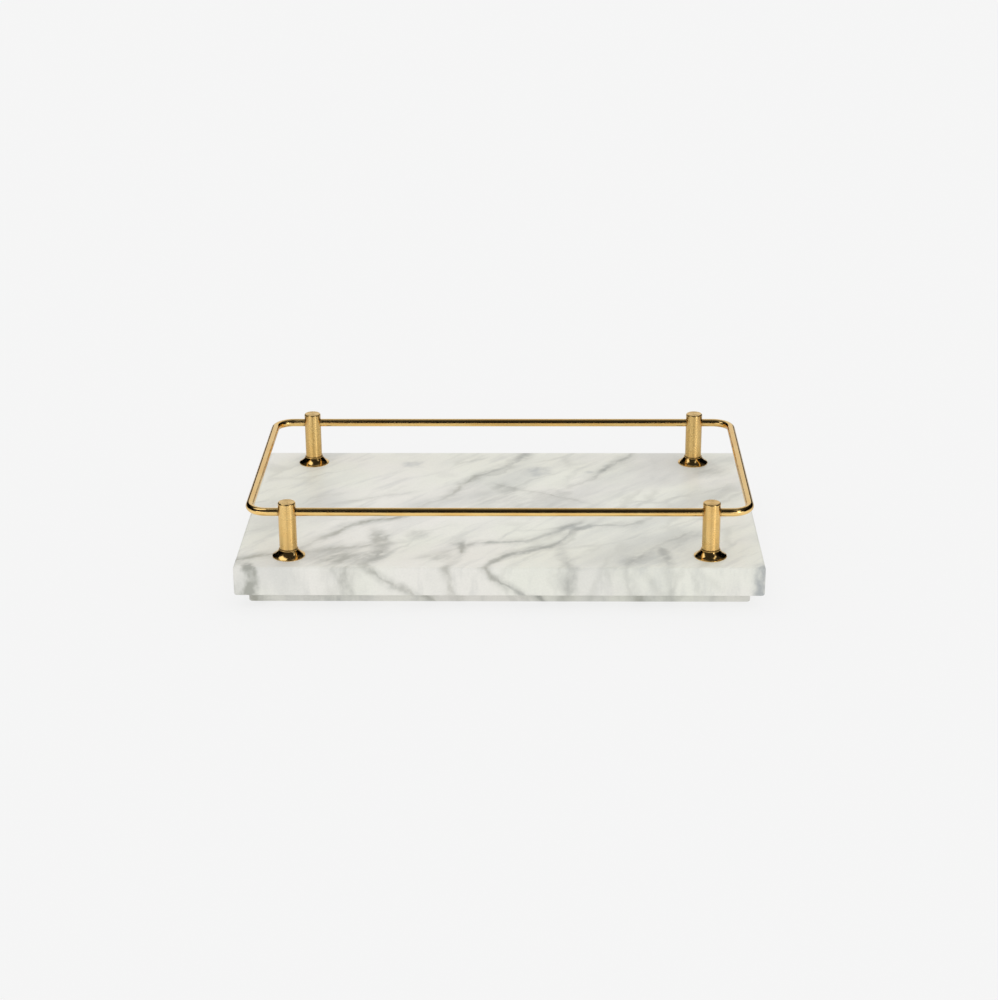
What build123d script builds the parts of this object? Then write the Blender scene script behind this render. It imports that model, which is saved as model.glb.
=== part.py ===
from build123d import *
import os

# Dresser tray: a veined marble slab on an inset plinth, with a low brass gallery rail
# carried on four turned posts. Millimetres, +X to the right, +Y to the back, +Z up.
# The origin is on the table, under the middle of the tray.

# --- stone ---------------------------------------------------------------------------
SLAB_LENGTH = 305.0
SLAB_DEPTH = 190.0
SLAB_THICKNESS = 17.5
SLAB_CORNER_RADIUS = 2.0
SLAB_TOP_ARRIS = 1.5
SLAB_BOTTOM_ARRIS = 1.0
PLINTH_INSET = 7.5
PLINTH_THICKNESS = 7.0
PLINTH_CORNER_RADIUS = 2.0
PLINTH_BOTTOM_ARRIS = 0.6

# --- felt pads -----------------------------------------------------------------------
PAD_DIAMETER = 16.0
PAD_THICKNESS = 1.5
PAD_EDGE = 0.3
PAD_X = 96.0
PAD_Y = 58.0

# --- posts and flanges ---------------------------------------------------------------
POST_X = 122.0
POST_Y = 76.75
POST_DIAMETER = 10.2
POST_TOP_ABOVE_SLAB = 33.2
POST_TOP_ROUND = 0.8
POST_SHOULDER_EDGE = 0.15
SPIGOT_DIAMETER = 8.0
SPIGOT_RELIEF = 0.1
FLANGE_DIAMETER = 19.0
FLANGE_HEIGHT = 4.7
FLANGE_RIM_HEIGHT = 0.3
FLANGE_RIM_ROUND = 0.25
FLANGE_RIM_SAG = 0.06
FLANGE_COLLAR_DIAMETER = 11.2
FLANGE_COLLAR_HEIGHT = 0.5
FLANGE_FLARE_SAG = 0.35
FLANGE_TOP_EDGE = 0.15

# --- gallery rail --------------------------------------------------------------------
RAIL_DIAMETER = 4.8
RAIL_HALF_LENGTH = 144.7
RAIL_BEND_RADIUS = 11.0
RAIL_ABOVE_SLAB = 27.1

# --- hidden fixings ------------------------------------------------------------------
FIT_GAP = 0.05
SCREW_DIAMETER = 5.0
SCREW_LENGTH = 30.0
SCREW_END_CHAMFER = 0.5
HEAD_DIAMETER = 9.4
HEAD_HEIGHT = 2.8
HEAD_DOME = 0.9
SOCKET_ACROSS_FLATS = 3.0
SOCKET_DEPTH = 1.7
WASHER_DIAMETER = 11.0
WASHER_HOLE = 5.5
WASHER_THICKNESS = 1.0
STONE_HOLE = 6.5
COUNTERBORE_DIAMETER = 13.0
COUNTERBORE_DEPTH = 5.0
POST_BORE_DEPTH = 13.0

# --- levels --------------------------------------------------------------------------
PLINTH_BOTTOM = PAD_THICKNESS
SLAB_BOTTOM = PLINTH_BOTTOM + PLINTH_THICKNESS
SLAB_TOP = SLAB_BOTTOM + SLAB_THICKNESS
POST_SHOULDER = SLAB_TOP + FLANGE_HEIGHT
POST_TOP = SLAB_TOP + POST_TOP_ABOVE_SLAB
RAIL_LEVEL = SLAB_TOP + RAIL_ABOVE_SLAB
COUNTERBORE_CEILING = PLINTH_BOTTOM + COUNTERBORE_DEPTH
HEAD_SEAT = COUNTERBORE_CEILING - WASHER_THICKNESS

# corner name: (side along X, side along Y)
CORNERS = {
    "front_left": (-1, -1),
    "front_right": (1, -1),
    "back_left": (-1, 1),
    "back_right": (1, 1),
}


def post_axes():
    return {name: (sx * POST_X, sy * POST_Y) for name, (sx, sy) in CORNERS.items()}


def pad_centres():
    return {name: (sx * PAD_X, sy * PAD_Y) for name, (sx, sy) in CORNERS.items()}


def upright_cylinder(x, y, bottom, diameter, height):
    align = (Align.CENTER, Align.CENTER, Align.MIN)
    return Pos(x, y, bottom) * Cylinder(diameter / 2, height, align=align)


def turned(outline):
    """Revolve a closed outline, drawn as radius and height, about the Z axis."""
    profile = Plane.XZ * make_face(Wire(outline))
    return revolve(profile, Axis.Z, 360)


def stone_block(length, depth, bottom, thickness, corner_radius):
    align = (Align.CENTER, Align.CENTER, Align.MIN)
    block = Pos(0, 0, bottom) * Box(length, depth, thickness, align=align)
    return fillet(block.edges().filter_by(Axis.Z), corner_radius)


def marble_slab():
    slab = stone_block(SLAB_LENGTH, SLAB_DEPTH, SLAB_BOTTOM, SLAB_THICKNESS, SLAB_CORNER_RADIUS)
    slab = fillet(slab.faces().sort_by(Axis.Z)[-1].edges(), SLAB_TOP_ARRIS)
    slab = fillet(slab.faces().sort_by(Axis.Z)[0].edges(), SLAB_BOTTOM_ARRIS)
    for x, y in post_axes().values():
        slab -= upright_cylinder(x, y, SLAB_BOTTOM, STONE_HOLE, SLAB_THICKNESS)
    return slab


def marble_plinth():
    length = SLAB_LENGTH - 2 * PLINTH_INSET
    depth = SLAB_DEPTH - 2 * PLINTH_INSET
    plinth = stone_block(length, depth, PLINTH_BOTTOM, PLINTH_THICKNESS, PLINTH_CORNER_RADIUS)
    plinth = chamfer(plinth.faces().sort_by(Axis.Z)[0].edges(), PLINTH_BOTTOM_ARRIS)
    for x, y in post_axes().values():
        plinth -= upright_cylinder(x, y, PLINTH_BOTTOM, STONE_HOLE, PLINTH_THICKNESS)
        plinth -= upright_cylinder(x, y, PLINTH_BOTTOM, COUNTERBORE_DIAMETER, COUNTERBORE_DEPTH)
    return plinth


def flange():
    """Turned flange at the origin: a thin rim, a slightly hollow cone and a short collar."""
    bore = SPIGOT_DIAMETER / 2 + FIT_GAP
    rim = FLANGE_DIAMETER / 2
    collar = FLANGE_COLLAR_DIAMETER / 2
    rim_top = (rim, FLANGE_RIM_HEIGHT)
    flare_bottom = (rim - FLANGE_RIM_ROUND, FLANGE_RIM_HEIGHT + FLANGE_RIM_ROUND)
    flare_top = (collar, FLANGE_HEIGHT - FLANGE_COLLAR_HEIGHT)
    collar_edge = (collar, FLANGE_HEIGHT - FLANGE_TOP_EDGE)
    collar_top = (collar - FLANGE_TOP_EDGE, FLANGE_HEIGHT)
    outline = [
        Line((bore, 0), (rim, 0)),
        Line((rim, 0), rim_top),
        SagittaArc(rim_top, flare_bottom, -FLANGE_RIM_SAG),
        SagittaArc(flare_bottom, flare_top, FLANGE_FLARE_SAG),
        Line(flare_top, collar_edge),
        Line(collar_edge, collar_top),
        Line(collar_top, (bore, FLANGE_HEIGHT)),
        Line((bore, FLANGE_HEIGHT), (bore, 0)),
    ]
    return turned(outline)


def post():
    """Turned post standing on the slab at the origin: spigot, body and rounded top."""
    height = POST_TOP_ABOVE_SLAB - FLANGE_HEIGHT
    body = upright_cylinder(0, 0, POST_SHOULDER, POST_DIAMETER, height)
    body = fillet(body.faces().sort_by(Axis.Z)[-1].edges(), POST_TOP_ROUND)
    body = chamfer(body.faces().sort_by(Axis.Z)[0].edges(), POST_SHOULDER_EDGE)
    spigot_bottom = SLAB_TOP + SPIGOT_RELIEF
    spigot_height = FLANGE_HEIGHT - SPIGOT_RELIEF
    body += upright_cylinder(0, 0, spigot_bottom, SPIGOT_DIAMETER, spigot_height)
    body -= upright_cylinder(0, 0, spigot_bottom, SCREW_DIAMETER + 2 * FIT_GAP, POST_BORE_DEPTH)
    rail_hole = Cylinder(RAIL_DIAMETER / 2 + FIT_GAP, 2 * POST_DIAMETER)
    return body - Pos(0, 0, RAIL_LEVEL) * Rot(0, 90, 0) * rail_hole


def gallery_rail():
    """One rod bent into a closed loop that threads the four posts."""
    loop = RectangleRounded(2 * RAIL_HALF_LENGTH, 2 * POST_Y, RAIL_BEND_RADIUS).wire()
    path = Pos(0, 0, RAIL_LEVEL) * loop
    section = Plane(origin=path @ 0, z_dir=path % 0) * Circle(RAIL_DIAMETER / 2)
    return sweep(section, path=path)


def post_screw():
    """Domed socket screw at the origin's axis, its head in the plinth's counterbore."""
    screw = upright_cylinder(0, 0, HEAD_SEAT, SCREW_DIAMETER, SCREW_LENGTH)
    screw = chamfer(screw.faces().sort_by(Axis.Z)[-1].edges(), SCREW_END_CHAMFER)
    head_bottom = HEAD_SEAT - HEAD_HEIGHT
    head = upright_cylinder(0, 0, head_bottom, HEAD_DIAMETER, HEAD_HEIGHT)
    head = fillet(head.faces().sort_by(Axis.Z)[0].edges(), HEAD_DOME)
    socket_shape = RegularPolygon(SOCKET_ACROSS_FLATS / 2, 6, major_radius=False)
    socket = extrude(Pos(0, 0, head_bottom) * socket_shape, SOCKET_DEPTH)
    return screw + head - socket


def screw_washer():
    washer_bottom = COUNTERBORE_CEILING - WASHER_THICKNESS
    ring = upright_cylinder(0, 0, washer_bottom, WASHER_DIAMETER, WASHER_THICKNESS)
    return ring - upright_cylinder(0, 0, washer_bottom, WASHER_HOLE, WASHER_THICKNESS)


def felt_pad():
    pad = upright_cylinder(0, 0, 0, PAD_DIAMETER, PAD_THICKNESS)
    return chamfer(pad.faces().sort_by(Axis.Z)[0].edges(), PAD_EDGE)


def group_at_posts(shape):
    return Compound(children=[Pos(x, y, 0) * shape for x, y in post_axes().values()])


def build_nodes():
    nodes = {
        "marble_slab": marble_slab(),
        "marble_plinth": marble_plinth(),
        "gallery_rail": gallery_rail(),
        "post_screws": group_at_posts(post_screw()),
        "screw_washers": group_at_posts(screw_washer()),
    }
    one_flange = flange()
    one_post = post()
    one_pad = felt_pad()
    for name, (x, y) in post_axes().items():
        nodes["flange_" + name] = Pos(x, y, SLAB_TOP) * one_flange
        nodes["post_" + name] = Pos(x, y, 0) * one_post
    for name, (x, y) in pad_centres().items():
        nodes["pad_" + name] = Pos(x, y, 0) * one_pad
    return nodes


os.makedirs("parts", exist_ok=True)
for node, shape in build_nodes().items():
    export_step(shape, "parts/" + node + ".step")
    print(node, "solids", len(shape.solids()), "volume", round(shape.volume, 1))
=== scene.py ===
# %% [markdown]
# # A marble dresser tray with a brass gallery rail
# The stone, the posts and the rail come from a CAD model that is already the right size.
# This lesson gives each piece its finish: veined marble, polished brass, zinc plated steel
# and wool felt. Then it sets up a plain studio. Lengths are in metres, and the CAD model's
# frame is kept, so nothing has to be fitted by eye.

# %% Load the CAD model
import math
import bmesh
import bpy
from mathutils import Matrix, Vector


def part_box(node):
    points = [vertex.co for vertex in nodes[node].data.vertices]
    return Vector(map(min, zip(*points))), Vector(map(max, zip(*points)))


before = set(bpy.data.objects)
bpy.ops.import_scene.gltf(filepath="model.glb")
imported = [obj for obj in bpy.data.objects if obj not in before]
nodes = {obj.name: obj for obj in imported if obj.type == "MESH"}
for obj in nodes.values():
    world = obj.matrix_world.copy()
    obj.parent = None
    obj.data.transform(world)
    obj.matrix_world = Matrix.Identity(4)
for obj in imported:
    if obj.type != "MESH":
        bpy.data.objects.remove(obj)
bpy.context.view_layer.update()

# %% [markdown]
# ## Reading the tray's own sizes
# A finish that is laid out by hand, such as a vein in stone, has to know where the stone
# is. The CAD boxes give those places, so the finish follows when a size changes.

# %% Measure the stone and the posts
MM = 0.001
slab_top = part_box("marble_slab")[1].z
post_low, post_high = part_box("post_front_right")
post_place = (post_low + post_high) / 2
flange_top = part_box("flange_front_right")[1].z
rail_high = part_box("gallery_rail")[1]
print("slab top", round(slab_top / MM, 2), "mm; post at",
      [round(abs(v) / MM, 2) for v in post_place[:2]], "mm")

# %% [markdown]
# ## Helpers for shader trees
# Wiring a node tree in Python is wordy. This small class adds a node, sets it up and links
# it in one line, so that the recipes below stay short enough to read as recipes.

# %% Shader helpers
class Recipe:
    """A node tree that is written one line at a time."""

    def __init__(self, tree):
        self.tree = tree

    def feed(self, socket, value):
        """A socket takes a link from another socket, or a plain value."""
        if isinstance(value, bpy.types.NodeSocket):
            self.tree.links.new(value, socket)
        else:
            socket.default_value = value

    def add(self, kind, inputs=None, **settings):
        node = self.tree.nodes.new("ShaderNode" + kind)
        for name, value in settings.items():
            setattr(node, name, value)
        for name, value in (inputs or {}).items():
            self.feed(node.inputs[name], value)
        return node

    def math(self, operation, *values):
        node = self.add("Math", operation=operation)
        for socket, value in zip(node.inputs, values):
            self.feed(socket, value)
        return node.outputs[0]

    def span(self, value, low, high, to_low=0.0, to_high=1.0, curve="SMOOTHSTEP"):
        """Carry a value from one range to another, held at both ends."""
        node = self.add("MapRange", interpolation_type=curve)
        for socket, number in zip(node.inputs, (value, low, high, to_low, to_high)):
            self.feed(socket, number)
        return node.outputs["Result"]

    def mix(self, share, first, second, blend="MIX"):
        """Blend two colours. A Mix node has sockets for every kind of data under the same
        names, so the ones for colours are picked by their numbers."""
        node = self.add("Mix", data_type="RGBA", blend_type=blend)
        for index, value in ((0, share), (6, first), (7, second)):
            self.feed(node.inputs[index], value)
        return node.outputs[2]

    def noise(self, place, scale, detail=2.0, roughness=0.5, output="Fac"):
        inputs = {"Vector": place, "Scale": scale, "Detail": detail, "Roughness": roughness}
        return self.add("TexNoise", inputs).outputs[output]

    def stretched(self, place, turn, scale):
        """A place in which a pattern is drawn out by scale, along axes turned about Z."""
        inputs = {"Vector": place, "Rotation": (0, 0, math.radians(turn)), "Scale": scale}
        return self.add("Mapping", inputs, vector_type="TEXTURE").outputs["Vector"]


print("shader helpers:", [name for name in vars(Recipe) if not name.startswith("_")])

# %% Starting a node group or a material
def new_group(name, inputs, outputs):
    """A node group with named sockets, its recipe, its inputs and its output node."""
    tree = bpy.data.node_groups.new(name, "ShaderNodeTree")
    for side, sockets in (("INPUT", inputs), ("OUTPUT", outputs)):
        for socket_name, kind in sockets.items():
            tree.interface.new_socket(socket_name, in_out=side,
                                      socket_type="NodeSocket" + kind)
    group_in = tree.nodes.new("NodeGroupInput")
    group_out = tree.nodes.new("NodeGroupOutput")
    return tree, Recipe(tree), group_in.outputs, group_out


def new_finish(name):
    """A material, its recipe, its Principled shader and the object's own coordinates."""
    material = bpy.data.materials.new(name)
    material.use_nodes = True
    recipe = Recipe(material.node_tree)
    shader = material.node_tree.nodes["Principled BSDF"]
    place = recipe.add("TexCoord").outputs["Object"]
    return material, recipe, shader, place


print("starters:", new_group.__name__, new_finish.__name__)

# %% [markdown]
# ## Laying the veins of the marble
# A vein in marble is a thin sheet of darker mineral that runs through the whole block. It
# shows as a line on the top, carries on down the edges and comes out underneath. A noise
# texture puts veins in random places, so the main ones are listed one by one instead. A vein
# is a row of points across the top, and its lean says how far the sheet moves to the right
# for each step down. Its heading is the way it mostly runs, and the points must keep moving
# that way, because a Float Curve can hold only one place across for each place along.

# %% The routes of the veins
# Each point is x and y in millimetres from the middle of the tray, then the vein's strength.
# A core and a bleed are widths in millimetres, and a heading is in degrees.
VEINS = {
    "main": dict(
        heading=45, lean=1.15, core=2.0, bleed=7.0,
        points=[(-26, -122, 0.7), (-16, -106, 0.72), (-7, -95, 0.78), (-4, -90, 0.85),
                (3.5, -79, 1), (13.5, -71, 1), (23.5, -65, 0.95), (33.5, -58, 0.9),
                (40, -46, 0.7), (47.5, -35, 0.9), (63.5, -32, 0.5), (77.5, -28, 0.6),
                (88, -20, 0.4), (104, -4, 0)]),
    "feeder": dict(
        heading=30, lean=0.6, core=2.0, bleed=8.0,
        points=[(-60, -86, 0), (-44, -79, 0.3), (-23, -65, 0.4), (-14, -60, 0.75),
                (0, -58, 0.7), (15, -55, 0.7), (28, -45, 0.6), (40, -34, 0.8), (56, -20, 0)]),
    "stroke": dict(
        heading=88, lean=0.1, core=3.0, bleed=6.0,
        points=[(-34, -112, 0.6), (-30, -95, 0.55), (-24, -82, 0.2), (-22.5, -74, 0.6),
                (-22.5, -66, 1), (-23.5, -57, 0.9), (-20, -46, 0)]),
    "long": dict(
        heading=47, lean=0.9, core=2.3, bleed=9.0,
        points=[(-132, -92, 0), (-119, -73, 0.2), (-110, -57, 0.4), (-102, -46, 0.7),
                (-94, -35, 0.9), (-84, -27, 1), (-72, -22, 1), (-56, -15, 0.85),
                (-46, 4, 0.35), (-34, 16, 0.55), (-25, 35, 0.6), (-13, 55, 1), (-2, 66, 0.6),
                (7.5, 77, 0.6), (13.5, 89, 0.9), (22, 108, 0.8)]),
    "edge": dict(
        heading=30, lean=0.5, core=2.0, bleed=9.0,
        points=[(-170, -96, 1), (-150, -84, 1), (-138, -76, 0.85), (-112, -71, 0.45),
                (-98, -68, 0.55), (-86, -64, 0.6), (-72, -56, 0.6), (-66, -46, 0.3),
                (-58, -30, 0)]),
    "back_right": dict(
        heading=58, lean=0.7, core=1.8, bleed=7.0,
        points=[(30, 22, 0), (40, 33, 0.25), (57, 47, 0.4), (65, 63, 1), (71, 73, 0.7),
                (79, 85, 0.7), (88, 102, 0.6)]),
    "blue": dict(
        heading=-80, lean=1.5, core=4.0, bleed=10.0,
        points=[(-80, -22, 0), (-75, -38, 0.3), (-73, -50, 0.65), (-70, -63, 0.6),
                (-71, -76, 1), (-73, -86, 0.6), (-76, -95, 0.6), (-80, -112, 0.75)]),
    "upright": dict(
        heading=-88, lean=0.0, core=5.2, bleed=7.0,
        points=[(34, -52, 0), (36, -64, 0.3), (37, -80, 0.35), (40, -95, 0.6),
                (42, -112, 0.65)]),
    "fork_left": dict(
        heading=50, lean=0.2, core=2.6, bleed=9.0,
        points=[(68, -106, 0.2), (74, -92, 0.4), (79, -81, 0.65), (86, -71, 0.5),
                (96, -58, 0.3), (106, -50, 0.5), (120, -32, 0)]),
    "fork_right": dict(
        heading=80, lean=0.1, core=2.6, bleed=7.0,
        points=[(99, -104, 0.15), (97, -90, 0.4), (95, -76, 0.75), (93, -66, 0.45),
                (92, -56, 0)]),
    "faint_left": dict(
        heading=20, lean=0.4, core=2.0, bleed=6.0,
        points=[(-112, -2, 0), (-92, 9, 0.35), (-80, 16, 0.35), (-62, 21, 0.3),
                (-44, 30, 0)]),
    "crossing": dict(
        heading=-28, lean=0.0, core=1.8, bleed=6.0,
        points=[(-8, 42, 0), (4, 33, 0.4), (20, 24, 0.3), (34, 16, 0.45), (50, 8, 0.25),
                (64, -4, 0)]),
}
print("veins laid by hand:", len(VEINS))

# %% [markdown]
# ## From a row of points to a vein
# The shader asks the same question at every place on the stone: how far is this from the
# vein? The place is first pushed about by noise, so that the line wanders, and then moved
# against the vein's lean. Two dot products turn it into a distance along the vein's heading
# and one across it. One Float Curve gives where the vein lies at that distance along, and
# another how strong it is there. What is left across is the distance that was wanted.

# %% One vein in the shader
VEIN_SPAN = 440.0           # a curve's 0 to 1 covers this many millimetres
CORE_REACH = 1.35           # a core fades out this many core widths from its middle


def set_curve(node, points):
    """Lay a Float Curve through the given points."""
    curve = node.mapping.curves[0]
    while len(curve.points) < len(points):
        curve.points.new(0.5, 0.5)
    for point, place in zip(curve.points, points):
        point.location = place
        point.handle_type = "AUTO"
    node.mapping.update()


def curve_place(recipe, place, axis):
    """Where a place falls along an axis, as the 0 to 1 that a Float Curve reads."""
    reach = recipe.add("VectorMath", {0: place, 1: axis}, operation="DOT_PRODUCT")
    return recipe.math("MULTIPLY_ADD", reach.outputs["Value"], 1 / (VEIN_SPAN * MM), 0.5)


def one_vein(recipe, place, depth, thickness, vein):
    """How much of a vein's dark core, and of the grey that bleeds from it, shows here."""
    turn = math.radians(vein["heading"])
    along_axis = Vector((math.cos(turn), math.sin(turn), 0))
    across_axis = Vector((-math.sin(turn), math.cos(turn), 0))
    points = sorted((Vector((x, y, 0)).dot(along_axis) / VEIN_SPAN + 0.5,
                     Vector((x, y, 0)).dot(across_axis) / VEIN_SPAN + 0.5, strength)
                    for x, y, strength in vein["points"])
    shift = recipe.add("CombineXYZ", {"X": recipe.math("MULTIPLY", depth, -vein["lean"])})
    leaned = recipe.add("VectorMath", {0: place, 1: shift.outputs[0]},
                        operation="ADD").outputs[0]
    along, across = (curve_place(recipe, leaned, axis) for axis in (along_axis, across_axis))
    route = recipe.add("FloatCurve", {"Value": along})
    set_curve(route, [(a, b) for a, b, _ in points])
    strength = recipe.add("FloatCurve", {"Value": along})
    set_curve(strength, [(0.0, points[0][2]), *[(a, c) for a, _, c in points],
                         (1.0, points[-1][2])])
    away = recipe.math("ABSOLUTE", recipe.math("SUBTRACT", across, route.outputs[0]))
    reach = recipe.math("MULTIPLY", thickness, CORE_REACH * vein["core"] / VEIN_SPAN)
    core = recipe.span(away, 0.0, reach, 1.0, 0.0)
    bleed = recipe.span(away, 0.0, vein["bleed"] / VEIN_SPAN, 1.0, 0.0)
    return [recipe.math("MULTIPLY", part, strength.outputs[0]) for part in (core, bleed)]


print("a curve covers", VEIN_SPAN, "mm, and a core fades over", CORE_REACH, "core widths")

# %% All the veins in one group
def wandered(recipe, place, slow, quick):
    """Noise moves the place that a pattern reads, so that its edges wander like stone."""
    moved = place
    for reach, scale, detail in ((slow, 34.0, 2.0), (quick, 170.0, 3.0)):
        pattern = recipe.noise(place, scale, detail, 0.55, "Color")
        centred = recipe.add("VectorMath", {0: pattern, 1: (0.5, 0.5, 0.5)},
                             operation="SUBTRACT").outputs[0]
        bend = recipe.add("VectorMath", {0: centred, "Scale": reach},
                          operation="SCALE").outputs[0]
        moved = recipe.add("VectorMath", {0: moved, 1: bend}, operation="ADD").outputs[0]
    return moved


def build_vein_group():
    """The strongest core and the strongest bleed of all the veins, at a place."""
    tree, recipe, given, out = new_group(
        "laid_veins", {"Place": "Vector"}, {"Core": "Float", "Bleed": "Float"})
    place = wandered(recipe, given["Place"], 9 * MM, 3.6 * MM)
    height = recipe.add("SeparateXYZ", {"Vector": place}).outputs["Z"]
    depth = recipe.math("SUBTRACT", slab_top, height)
    thickness = recipe.span(recipe.noise(given["Place"], 75.0, 2.0), 0.3, 0.7, 0.3, 1.7)
    totals = [None, None]
    for vein in VEINS.values():
        parts = one_vein(recipe, place, depth, thickness, vein)
        totals = [part if total is None else recipe.math("MAXIMUM", total, part)
                  for total, part in zip(totals, parts)]
    tree.links.new(totals[0], out.inputs["Core"])
    tree.links.new(totals[1], out.inputs["Bleed"])
    return tree


vein_group = build_vein_group()
print("nodes in the vein group:", len(vein_group.nodes))

# %% [markdown]
# ## The marble: whites, clouds and streaks
# White marble is never one white. From wide to fine it has soft clouds of cream and grey,
# streaks and a net of faint veins that mostly run the same way as the strong ones, the
# strong veins themselves, and the sugar-like crystals of the stone. Each layer is laid over
# the one before, as glazes are in painting, and each has its own short function here.

# %% White stone with clouds and streaks
RUN_OF_THE_STONE = 44       # degrees: the way most of the veins run
CREAM_WHITE = (0.866, 0.852, 0.797, 1)
GREENER_WHITE = (0.848, 0.853, 0.771, 1)
CLOUD_GREY = (0.56, 0.572, 0.55, 1)
STREAK_GREY = (0.50, 0.51, 0.49, 1)


def clouded_white(recipe, place, along_run):
    """Two whites, under soft clouds and finer streaks of grey."""
    warmth = recipe.noise(place, 15.0)
    white = recipe.mix(recipe.span(warmth, 0.38, 0.62), CREAM_WHITE, GREENER_WHITE)
    clouds = recipe.span(recipe.noise(along_run, 34.0, 3.0), 0.44, 0.72, 0.0, 0.47)
    greyed = recipe.mix(clouds, white, CLOUD_GREY)
    streak_place = recipe.stretched(place, RUN_OF_THE_STONE + 6, (5.0, 1.0, 4.0))
    streaks = recipe.span(recipe.noise(streak_place, 130.0, 3.0, 0.6), 0.5, 0.75, 0.0, 0.3)
    return recipe.mix(streaks, greyed, STREAK_GREY)


print("the stone runs at", RUN_OF_THE_STONE, "degrees")

# %% [markdown]
# ## The faint net and the smudges
# A Voronoi texture's distance to the edge is small along lines that meet in a net, like the
# hairline veins of marble. It is let through only in some places. Where the darker mineral
# gathered without making a line, the stone is smudged. Those patches are soft ellipses given
# in a list, and the same wandering that bends the veins makes their outlines loose.

# %% Net and smudges
NET_GREY = (0.43, 0.435, 0.385, 1)
OLIVE_SMUDGE = (0.41, 0.415, 0.37, 1)
BLUE_SMUDGE = (0.39, 0.415, 0.42, 1)
# x, y, reach along x and reach along y in millimetres, then how dark the patch is
SMUDGES = [
    (-90, -80, 30, 22, 0.75), (-56, 73, 9, 9, 0.6), (22, 58, 12, 8, 0.5),
    (3, 30, 16, 16, 0.5), (47, -35, 14, 7, 0.9), (33, 24, 14, 9, 0.45), (55, 60, 6, 6, 0.45),
    (-34, -80, 11, 10, 0.4), (-46, -45, 14, 8, 0.45), (-72, -52, 7, 14, 0.6),
    (-145, -97, 6.5, 14, 1.12), (149, -97, 9, 12, 0.8), (-88, -99, 12, 10, 0.6),
    (132, 62, 16, 14, 0.45), (10, 10, 60, 34, 0.3), (84, -84, 22, 16, 0.4)]


def netted(recipe, place, stone):
    """Hairline veins that meet in a net, here and there."""
    net_place = recipe.stretched(wandered(recipe, place, 22 * MM, 5 * MM),
                                 RUN_OF_THE_STONE, (3.2, 1.0, 3.0))
    cells = recipe.add("TexVoronoi", {"Vector": net_place, "Scale": 42.0},
                       feature="DISTANCE_TO_EDGE").outputs["Distance"]
    here = recipe.span(recipe.noise(place, 24.0), 0.44, 0.68, 0.0, 0.28)
    net = recipe.math("MULTIPLY", recipe.span(cells, 0.0, 0.085, 1.0, 0.0), here)
    return recipe.mix(net, stone, NET_GREY)


def smudge_mask(recipe, place):
    """How much of the darkest smudge shows here."""
    total = None
    for x, y, reach_x, reach_y, amount in SMUDGES:
        centred = recipe.add("Mapping", {
            "Vector": place, "Location": (-x / reach_x, -y / reach_y, 0),
            "Scale": (1 / (reach_x * MM), 1 / (reach_y * MM), 0)}).outputs["Vector"]
        away = recipe.add("VectorMath", {0: centred}, operation="LENGTH").outputs["Value"]
        patch = recipe.span(away, 0.1, 1.0, amount, 0.0)
        total = patch if total is None else recipe.math("MAXIMUM", total, patch)
    return total


def smudged(recipe, place, uneven, hue, stone):
    """Soft patches, olive in some parts of the stone and bluer in others."""
    loose = wandered(recipe, place, 24 * MM, 7 * MM)
    smudges = recipe.math("MULTIPLY", smudge_mask(recipe, loose), uneven)
    return recipe.mix(smudges, stone, recipe.mix(hue, OLIVE_SMUDGE, BLUE_SMUDGE))


print("smudges laid by hand:", len(SMUDGES))

# %% [markdown]
# ## The strong veins, the crystals and the surface
# The laid veins go on top: first the grey that bleeds from them, then their cores, which
# noise breaks up. The crystals are tiny Voronoi cells, each a little lighter or darker than
# the next. The surface is honed rather than mirror polished, so its roughness is a little
# over a third, and it drops slightly on the veins. The plinth is the same stone with all its
# colours scaled down, as painted shade for the shadow under the slab's overhang.

# %% Marble
BLEED_GREY = (0.44, 0.447, 0.405, 1)
OLIVE_CORE = (0.27, 0.262, 0.20, 1)
BLUE_CORE = (0.26, 0.27, 0.255, 1)
BLEED_STRENGTH = 0.66
CORE_STRENGTH = 0.58


def veined(recipe, place, uneven, hue, stone):
    """The stone with the laid veins on it, and the mask of their cores."""
    veins = recipe.add("Group", {"Place": place}, node_tree=vein_group)
    bleed = recipe.math("MULTIPLY", veins.outputs["Bleed"], uneven)
    bled = recipe.mix(recipe.math("MULTIPLY", bleed, BLEED_STRENGTH), stone, BLEED_GREY)
    broken = recipe.span(recipe.noise(place, 120.0, 3.0, 0.65), 0.3, 0.62, 0.35, 1.0)
    core = recipe.math("MULTIPLY", veins.outputs["Core"], broken)
    core_colour = recipe.mix(hue, OLIVE_CORE, BLUE_CORE)
    return recipe.mix(recipe.math("MULTIPLY", core, CORE_STRENGTH), bled, core_colour), core


def crystallised(recipe, place, brightness, stone):
    """Each crystal is up to 2% lighter or darker than the stone."""
    crystals = recipe.add("TexVoronoi", {"Vector": place, "Scale": 1300.0}).outputs["Color"]
    speck = recipe.add("SeparateColor", {"Color": crystals}).outputs[0]
    sugar = recipe.span(speck, 0.0, 1.0, 0.98 * brightness, 1.02 * brightness, "LINEAR")
    tint = recipe.add("CombineColor", {"Red": sugar, "Green": sugar, "Blue": sugar})
    return recipe.mix(1.0, stone, tint.outputs[0], "MULTIPLY")


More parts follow.
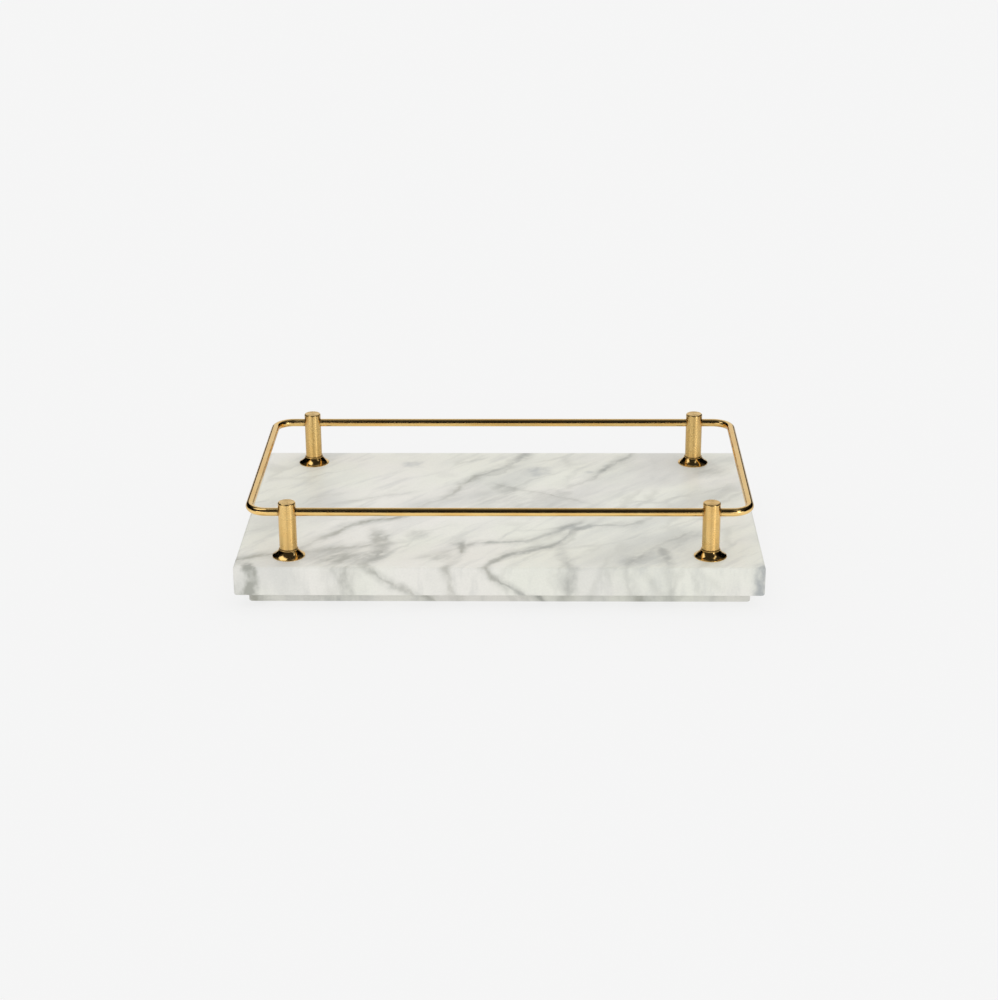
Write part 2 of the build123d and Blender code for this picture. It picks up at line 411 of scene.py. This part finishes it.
def marble_finish(name, brightness):
    """The stone, with all its colours scaled by a brightness. A brightness below one is
    painted shade.
    """
    material, recipe, shader, place = new_finish(name)
    along_run = recipe.stretched(place, RUN_OF_THE_STONE, (3.0, 1.0, 2.6))
    uneven = recipe.span(recipe.noise(along_run, 190.0, 3.0, 0.6), 0.28, 0.68, 0.3, 1.2)
    hue = recipe.span(recipe.noise(place, 11.0, 1.0), 0.42, 0.58)
    stone = clouded_white(recipe, place, along_run)
    stone = netted(recipe, place, stone)
    stone = smudged(recipe, place, uneven, hue, stone)
    stone, core = veined(recipe, place, uneven, hue, stone)
    stone = crystallised(recipe, place, brightness, stone)
    recipe.feed(shader.inputs["Base Color"], stone)
    haze = recipe.span(recipe.noise(place, 60.0, 3.0, 0.6), 0.3, 0.7, 0.34, 0.42)
    recipe.feed(shader.inputs["Roughness"], recipe.math(
        "SUBTRACT", haze, recipe.math("MULTIPLY", core, 0.08)))
    bump = recipe.add("Bump", {"Height": recipe.noise(place, 1400.0),
                               "Strength": 0.04, "Distance": 0.1 * MM})
    recipe.feed(shader.inputs["Normal"], bump.outputs["Normal"])
    return material


honed_marble = marble_finish("honed_marble", 1.0)
# The plinth's stone is scaled to 0.86: painted shade for the shadow under the slab's overhang.
shaded_plinth_marble = marble_finish("shaded_plinth_marble", 0.86)
print("marble nodes:", len(honed_marble.node_tree.nodes))

# %% [markdown]
# ## The brass finishes
# Buffed brass is nearly a mirror, and its colour comes from the metal itself: the base
# colour is what the metal gives back, and there is no coat on it. Two things make it look
# real. The colour is never even, because skin and air stain it a little. And every tool
# leaves its own marks: a lathe leaves rings round a post, while a drawn rod has fine lines
# along its length. The staining is one node group that all the brass finishes use.

# %% Brass staining
CLEAN_BRASS = (0.96, 0.66, 0.262, 1)
REDDER_BRASS = (0.93, 0.595, 0.21, 1)
SPECK_BROWN = (0.62, 0.38, 0.13, 1)
GRIME_BROWN = (0.30, 0.17, 0.05, 1)


def build_stain_group():
    """The colour of the metal and the haze on it, with grime where there is a seam."""
    tree, recipe, given, out = new_group(
        "brass_stain", {"Place": "Vector", "Seam": "Float"},
        {"Colour": "Color", "Haze": "Float"})
    wide = recipe.span(recipe.noise(given["Place"], 60.0, 3.0, 0.55), 0.36, 0.66)
    clean = recipe.mix(wide, CLEAN_BRASS, REDDER_BRASS)
    specks = recipe.span(recipe.noise(given["Place"], 900.0, 2.0, 0.6), 0.62, 0.78, 0.0, 0.12)
    speckled = recipe.mix(specks, clean, SPECK_BROWN)
    grime = recipe.math("MULTIPLY", given["Seam"], recipe.span(
        recipe.noise(given["Place"], 500.0, 2.0), 0.3, 0.6, 0.4, 1.0))
    grimed = recipe.mix(grime, speckled, GRIME_BROWN)
    smear = recipe.span(recipe.noise(given["Place"], 130.0, 3.0, 0.55), 0.35, 0.7, 0.0, 0.035)
    haze = recipe.math("ADD", smear, recipe.math("MULTIPLY", grime, 0.25))
    tree.links.new(grimed, out.inputs["Colour"])
    tree.links.new(haze, out.inputs["Haze"])
    return tree


stain_group = build_stain_group()
print("nodes in the staining group:", len(stain_group.nodes))

# %% Any brass finish
MARK_HEIGHT = 0.02 * MM


def brass_finish(name, marks, seam, roughness):
    """Brass with tool marks from one function and a grimy seam from another."""
    material, recipe, shader, place = new_finish(name)
    stain = recipe.add("Group", {"Place": place, "Seam": seam(recipe, place)},
                       node_tree=stain_group)
    recipe.feed(shader.inputs["Base Color"], stain.outputs["Colour"])
    shader.inputs["Metallic"].default_value = 1.0
    scratches = marks(recipe, place)
    recipe.feed(shader.inputs["Roughness"], recipe.math(
        "ADD", stain.outputs["Haze"],
        recipe.span(scratches, 0.3, 0.7, roughness, roughness + 0.03)))
    bump = recipe.add("Bump", {"Height": scratches, "Strength": 0.05, "Distance": MARK_HEIGHT})
    recipe.feed(shader.inputs["Normal"], bump.outputs["Normal"])
    return material


print("tool marks are", round(MARK_HEIGHT / MM, 3), "mm high")

# %% [markdown]
# ## Lathe rings and drawn lines
# The four posts stand at the same distance from the middle, so taking the plain size of x
# and of y folds all four onto one. The distance from that post's centre is then the radius,
# and noise that reads only radius and height makes rings. The rail needs a place along its
# bent path instead. The distance from a rounded rectangle is short to work out, and noise
# that reads that distance and the height runs in lines along the rod and round its bends.

# %% Where the brass is
POST_AT = [abs(post_place.x), abs(post_place.y)]
RAIL_HALF = [rail_high.x, rail_high.y]
ROD_RADIUS = 2.4 * MM
BEND_RADIUS = 11.0 * MM
BEND_OUTSIDE = BEND_RADIUS + ROD_RADIUS


def folded(recipe, place, corner):
    """The place with all four quarters folded onto one, measured from a corner there."""
    plain = recipe.add("VectorMath", {0: place}, operation="ABSOLUTE").outputs[0]
    return recipe.add("VectorMath", {0: plain, 1: (corner[0], corner[1], 0)},
                      operation="SUBTRACT").outputs[0]


def flat_length(recipe, vector):
    """The length of a vector, leaving out its height."""
    level = recipe.add("VectorMath", {0: vector, 1: (1, 1, 0)},
                       operation="MULTIPLY").outputs[0]
    return recipe.add("VectorMath", {0: level}, operation="LENGTH").outputs["Value"]


def height_of(recipe, place):
    return recipe.add("SeparateXYZ", {"Vector": place}).outputs["Z"]


print("rail reaches", [round(half / MM, 1) for half in RAIL_HALF], "mm; bends start",
      round(BEND_OUTSIDE / MM, 1), "mm from its outside")

# %% Marks and seams on turned brass
SEAM_REACH = 0.7 * MM


def lathe_rings(recipe, place):
    """Noise that reads only the radius from a post's middle and the height."""
    radius = flat_length(recipe, folded(recipe, place, POST_AT))
    section = recipe.add("CombineXYZ", {"X": recipe.math("MULTIPLY", radius, 0.3),
                                        "Y": height_of(recipe, place)}).outputs[0]
    return recipe.noise(section, 1500.0, 3.0, 0.6)


def flange_seam(recipe, place):
    """Grime settles where the post meets the flange."""
    above = recipe.math("SUBTRACT", height_of(recipe, place), flange_top)
    away = recipe.math("ABSOLUTE", above)
    return recipe.span(away, 0.05 * MM, SEAM_REACH, 0.8, 0.0)


print("grime reaches", round(SEAM_REACH / MM, 2), "mm from the flange's top")

# %% Marks and seams on the drawn rod
ROD_SEAM = 5.0 * MM         # from a post's middle to where the rod leaves its surface


def drawn_lines(recipe, place):
    """Noise that reads the rod's section, and so runs in lines along it."""
    corner = [half - BEND_OUTSIDE for half in RAIL_HALF]
    outside = recipe.add("VectorMath", {0: folded(recipe, place, corner), 1: (0, 0, 0)},
                         operation="MAXIMUM").outputs[0]
    across = flat_length(recipe, outside)
    section = recipe.add("CombineXYZ", {"X": across,
                                        "Y": height_of(recipe, place)}).outputs[0]
    drift = recipe.add("VectorMath", {0: place, 1: (0.03, 0.03, 0.0)},
                       operation="MULTIPLY").outputs[0]
    drifted = recipe.add("VectorMath", {0: section, 1: drift}, operation="ADD").outputs[0]
    return recipe.noise(drifted, 2200.0, 3.0, 0.6)


def rail_seam(recipe, place):
    """The rod is a little darker where it goes into a post."""
    away = recipe.add("SeparateXYZ", {"Vector": folded(recipe, place, POST_AT)}).outputs["X"]
    return recipe.span(recipe.math("ABSOLUTE", away), ROD_SEAM, ROD_SEAM + MM, 0.6, 0.0)


print("the rod is grimy up to", round((ROD_SEAM + MM) / MM, 1), "mm from a post's middle")

# %% [markdown]
# ## Three brass finishes
# The flanges are turned and then buffed, and the rail is drawn and then buffed. The posts
# keep the fine rings of the lathe. Rings too fine to see one by one still pull each
# reflection out along the post, into an upright stripe. That is what Anisotropic is for:
# the shine is rough along the post and sharp round it. The tangent runs round the post, and
# a quarter turn of the rotation points the rough way up it.

# %% Turned, drawn and ringed brass
turned_brass = brass_finish("turned_brass", lathe_rings, flange_seam, 0.12)
drawn_brass = brass_finish("drawn_brass", drawn_lines, rail_seam, 0.14)
ringed_brass = brass_finish("ringed_brass", lathe_rings, flange_seam, 0.25)
ringed_shader = ringed_brass.node_tree.nodes["Principled BSDF"]
ringed_shader.inputs["Anisotropic"].default_value = 0.95
ringed_shader.inputs["Anisotropic Rotation"].default_value = 0.25
ringed_recipe = Recipe(ringed_brass.node_tree)
around_post = ringed_recipe.add("Tangent", direction_type="RADIAL", axis="Z")
ringed_recipe.feed(ringed_shader.inputs["Tangent"], around_post.outputs["Tangent"])
print("brass nodes:", [len(brass.node_tree.nodes)
                       for brass in (turned_brass, drawn_brass, ringed_brass)])

# %% [markdown]
# ## The hidden pieces
# The screws and washers are zinc plated steel: grey, slightly blue, and never as bright as
# chrome. The pads are pressed wool felt, a mat of fibres that lie every way, so it has no
# weave. Fine noise at two scales gives the fibres, and a little sheen gives the soft edge.

# %% Zinc plated steel
BLUE_ZINC = (0.60, 0.62, 0.66, 1)
YELLOW_ZINC = (0.70, 0.69, 0.62, 1)
DULL_SPOT = (0.38, 0.38, 0.37, 1)


def zinc_finish():
    """Grey metal with a faint bloom of blue and yellow, and a few dull spots."""
    material, recipe, shader, place = new_finish("zinc_plated_steel")
    bloom = recipe.span(recipe.noise(place, 320.0, 3.0, 0.6), 0.35, 0.65)
    tinted = recipe.mix(bloom, BLUE_ZINC, YELLOW_ZINC)
    spots = recipe.span(recipe.noise(place, 1500.0, 2.0), 0.6, 0.75, 0.0, 0.35)
    recipe.feed(shader.inputs["Base Color"], recipe.mix(spots, tinted, DULL_SPOT))
    shader.inputs["Metallic"].default_value = 1.0
    grain = recipe.noise(place, 2400.0, 3.0, 0.6)
    recipe.feed(shader.inputs["Roughness"], recipe.span(grain, 0.3, 0.7, 0.28, 0.42))
    bump = recipe.add("Bump", {"Height": grain, "Strength": 0.15, "Distance": 0.03 * MM})
    recipe.feed(shader.inputs["Normal"], bump.outputs["Normal"])
    return material


zinc = zinc_finish()
print("finish of the screws and washers:", zinc.name)

# %% Felt
DARK_WOOL = (0.14, 0.132, 0.124, 1)
GREY_WOOL = (0.20, 0.19, 0.178, 1)
PALE_FIBRE = (0.33, 0.315, 0.295, 1)


def felt_finish():
    """A mat of pale fibres, crossing at two angles, on dark wool."""
    material, recipe, shader, place = new_finish("wool_felt")
    tangle = recipe.noise(place, 700.0, 2.0, 0.5, "Color")
    tangled = recipe.add("VectorMath", {0: tangle, "Scale": 1.6 * MM},
                         operation="SCALE").outputs[0]
    wandering = recipe.add("VectorMath", {0: place, 1: tangled}, operation="ADD").outputs[0]
    fibres = recipe.noise(recipe.stretched(wandering, 30, (4.0, 1.0, 1.0)), 4200.0, 2.0, 0.5)
    crossed = recipe.noise(recipe.stretched(wandering, -55, (4.0, 1.0, 1.0)), 3600.0, 2.0, 0.5)
    mat = recipe.math("MAXIMUM", fibres, crossed)
    mottle = recipe.span(recipe.noise(place, 350.0, 3.0), 0.35, 0.65)
    wool = recipe.mix(mottle, DARK_WOOL, GREY_WOOL)
    recipe.feed(shader.inputs["Base Color"], recipe.mix(
        recipe.span(mat, 0.45, 0.7, 0.0, 0.6), wool, PALE_FIBRE))
    shader.inputs["Roughness"].default_value = 0.95
    shader.inputs["Specular IOR Level"].default_value = 0.2
    shader.inputs["Sheen Weight"].default_value = 0.35
    shader.inputs["Sheen Roughness"].default_value = 0.5
    bump = recipe.add("Bump", {"Height": mat, "Strength": 0.6, "Distance": 0.15 * MM})
    recipe.feed(shader.inputs["Normal"], bump.outputs["Normal"])
    return material


felt = felt_finish()
print("finish of the pads:", felt.name)

# %% [markdown]
# ## Putting the finishes on
# The pieces that stand alone are listed by name. The posts, flanges and pads are listed by
# the first word of their names, so that a new one in the CAD model is finished without a
# change here.

# %% Put the finishes on
FINISH_OF = {
    "marble_slab": honed_marble, "marble_plinth": shaded_plinth_marble, "gallery_rail": drawn_brass,
    "post_screws": zinc, "screw_washers": zinc,
    "post": ringed_brass, "flange": turned_brass, "pad": felt}
for name, node in nodes.items():
    finish = FINISH_OF.get(name) or FINISH_OF[name.split("_")[0]]
    for slot in node.material_slots:
        slot.material = finish
print("finished:", {name: node.material_slots[0].material.name
                    for name, node in nodes.items()})

# %% [markdown]
# ## The camera
# The camera looks down at the tray from the front. Its lens is longer than a normal one, and
# it stands further back to suit, so the near corners of the slab aren't stretched.

# %% Camera
TRAY_MIDDLE = Vector((0, 0, 0.03))
CAMERA_PLACE = (0.0224, -1.2286, 0.5162)
CAMERA_TILT = (68.42, 0.33, 0.98)       # degrees
camera_data = bpy.data.cameras.new("camera")
camera_data.sensor_fit = "HORIZONTAL"
camera_data.sensor_width = 36.0
camera_data.lens = 78.0
camera = bpy.data.objects.new("camera", camera_data)
camera.location = CAMERA_PLACE
camera.rotation_euler = [math.radians(angle) for angle in CAMERA_TILT]
bpy.context.scene.collection.objects.link(camera)
bpy.context.scene.camera = camera
print("camera is", round((camera.location - TRAY_MIDDLE).length, 3), "m away")

# %% [markdown]
# ## The studio
# The floor is a plain pale sheet. Most of its brightness is its own glow, so that the tray's
# shadow on it stays faint. In shiny surfaces the sheet ends in the dark not far in front of
# the tray and behind it, as a real sheet on a table does, and the rail shows that as its
# dark core. A Light Path node tells those rays from the ones that the camera sends.

# %% Floor
FLOOR_SIZE = 12.0
FLOOR_TONE = 0.18
FLOOR_GLOW = 0.745
floor_mesh = bpy.data.meshes.new("floor")
floor_bm = bmesh.new()
bmesh.ops.create_grid(floor_bm, x_segments=1, y_segments=1, size=FLOOR_SIZE)
floor_bm.to_mesh(floor_mesh)
floor_bm.free()
floor = bpy.data.objects.new("floor", floor_mesh)
bpy.context.scene.collection.objects.link(floor)
print("floor reaches", FLOOR_SIZE, "m each way")

# %% Floor paper
SHEET_BACK = (-0.15, 0.20)      # in reflections it dims between these places along Y
SHEET_FRONT = (-0.25, -0.36)
BACK_DIMMING = 0.5
FRONT_DIMMING = 0.75
paper, paper_recipe, paper_shader, paper_place = new_finish("floor_paper")
paper_shader.inputs["Base Color"].default_value = (FLOOR_TONE, FLOOR_TONE, FLOOR_TONE, 1)
paper_shader.inputs["Roughness"].default_value = 0.9
paper_shader.inputs["Specular IOR Level"].default_value = 0.0
paper_shader.inputs["Emission Color"].default_value = (1, 1, 1, 1)
towards_back = paper_recipe.add("SeparateXYZ", {"Vector": paper_place}).outputs["Y"]
dim_behind = paper_recipe.span(towards_back, *SHEET_BACK, 0.0, BACK_DIMMING)
dim_in_front = paper_recipe.span(towards_back, *SHEET_FRONT, 0.0, FRONT_DIMMING)
dimmed = paper_recipe.math("ADD", dim_behind, dim_in_front)
shiny = paper_recipe.add("LightPath").outputs["Is Glossy Ray"]
kept = paper_recipe.math("SUBTRACT", 1.0, paper_recipe.math("MULTIPLY", dimmed, shiny))
paper_recipe.feed(paper_shader.inputs["Emission Strength"],
                  paper_recipe.math("MULTIPLY", kept, FLOOR_GLOW))
floor_mesh.materials.append(paper)
print("floor paper nodes:", len(paper.node_tree.nodes))

# %% [markdown]
# ## The light
# A bright, even room lights the stone and the floor, but it isn't shown in shiny surfaces.
# Polished brass shows whatever is round it, so it is given its own panels: a dim ceiling, a
# pale wall low down behind, a low wall each side in front, two small softboxes up at the
# sides, and an upright strip that draws the bright stripe on each post. The panels light
# nothing else. A weak, very soft sun overhead makes the top of the stone a little brighter
# than its edge.

# %% Room light
ROOM_LIGHT = 0.915
world = bpy.data.worlds.new("studio")
bpy.context.scene.world = world
world.use_nodes = True
background = world.node_tree.nodes["Background"]
background.inputs["Color"].default_value = (1, 1, 1, 1)
background.inputs["Strength"].default_value = ROOM_LIGHT
world.cycles_visibility.glossy = False
print("room light", ROOM_LIGHT)

# %% Softboxes
def place_lamp(lamp, azimuth, height, distance):
    """Hang a lamp at an angle round from the front and above the floor, facing the tray."""
    turn, rise = math.radians(azimuth), math.radians(height)
    flat = distance * math.cos(rise)
    hung = bpy.data.objects.new(lamp.name, lamp)
    hung.location = (flat * math.sin(turn), -flat * math.cos(turn), distance * math.sin(rise))
    aim = TRAY_MIDDLE - hung.location
    hung.rotation_euler = aim.to_track_quat("-Z", "Y").to_euler()
    bpy.context.scene.collection.objects.link(hung)
    return hung


def softbox(name, azimuth, height, distance, size, radiance):
    """A lit panel that only shows in shiny surfaces. In Cycles its radiance is its power
    over four times its area."""
    lamp = bpy.data.lights.new(name, "AREA")
    lamp.shape = "RECTANGLE"
    lamp.size, lamp.size_y = size
    lamp.energy = radiance * 4 * size[0] * size[1]
    hung = place_lamp(lamp, azimuth, height, distance)
    hung.visible_diffuse = False
    hung.visible_camera = False


# angle round and angle up in degrees, distance and (width, height) in metres, brightness
SOFTBOXES = {
    "ceiling": (0, 88, 3.2, (7.0, 7.0), 0.022),
    "back_wall": (180, 22, 2.7, (2.0, 2.3), 0.6),
    "left_softbox": (-80, 55, 0.6, (0.24, 0.3), 0.95),
    "right_softbox": (60, 51, 0.64, (0.08, 0.24), 0.75),
    "back_ceiling": (180, 63, 3.0, (2.0, 2.6), 0.17),
    "front_wall_left": (-35, 7, 2.0, (1.95, 0.5), 1.15),
    "front_wall_right": (35, 7, 2.0, (1.95, 0.5), 1.15),
    "right_strip": (42, 18, 0.9, (0.14, 0.6), 2.0),
}
for name, panel in SOFTBOXES.items():
    softbox(name, *panel)
print("softboxes:", list(SOFTBOXES))

# %% The overhead sun
overhead = bpy.data.lights.new("overhead", "SUN")
overhead.energy = 0.12
overhead.angle = math.radians(60)
overhead_hung = place_lamp(overhead, -15, 80, 3.0)
overhead_hung.visible_glossy = False
print("lamps:", [lamp.name for lamp in bpy.data.lights])

# %% [markdown]
# ## Colour
# The Standard view keeps a pale floor pale.

# %% View settings
bpy.context.scene.view_settings.view_transform = "Standard"
bpy.context.scene.view_settings.look = "None"
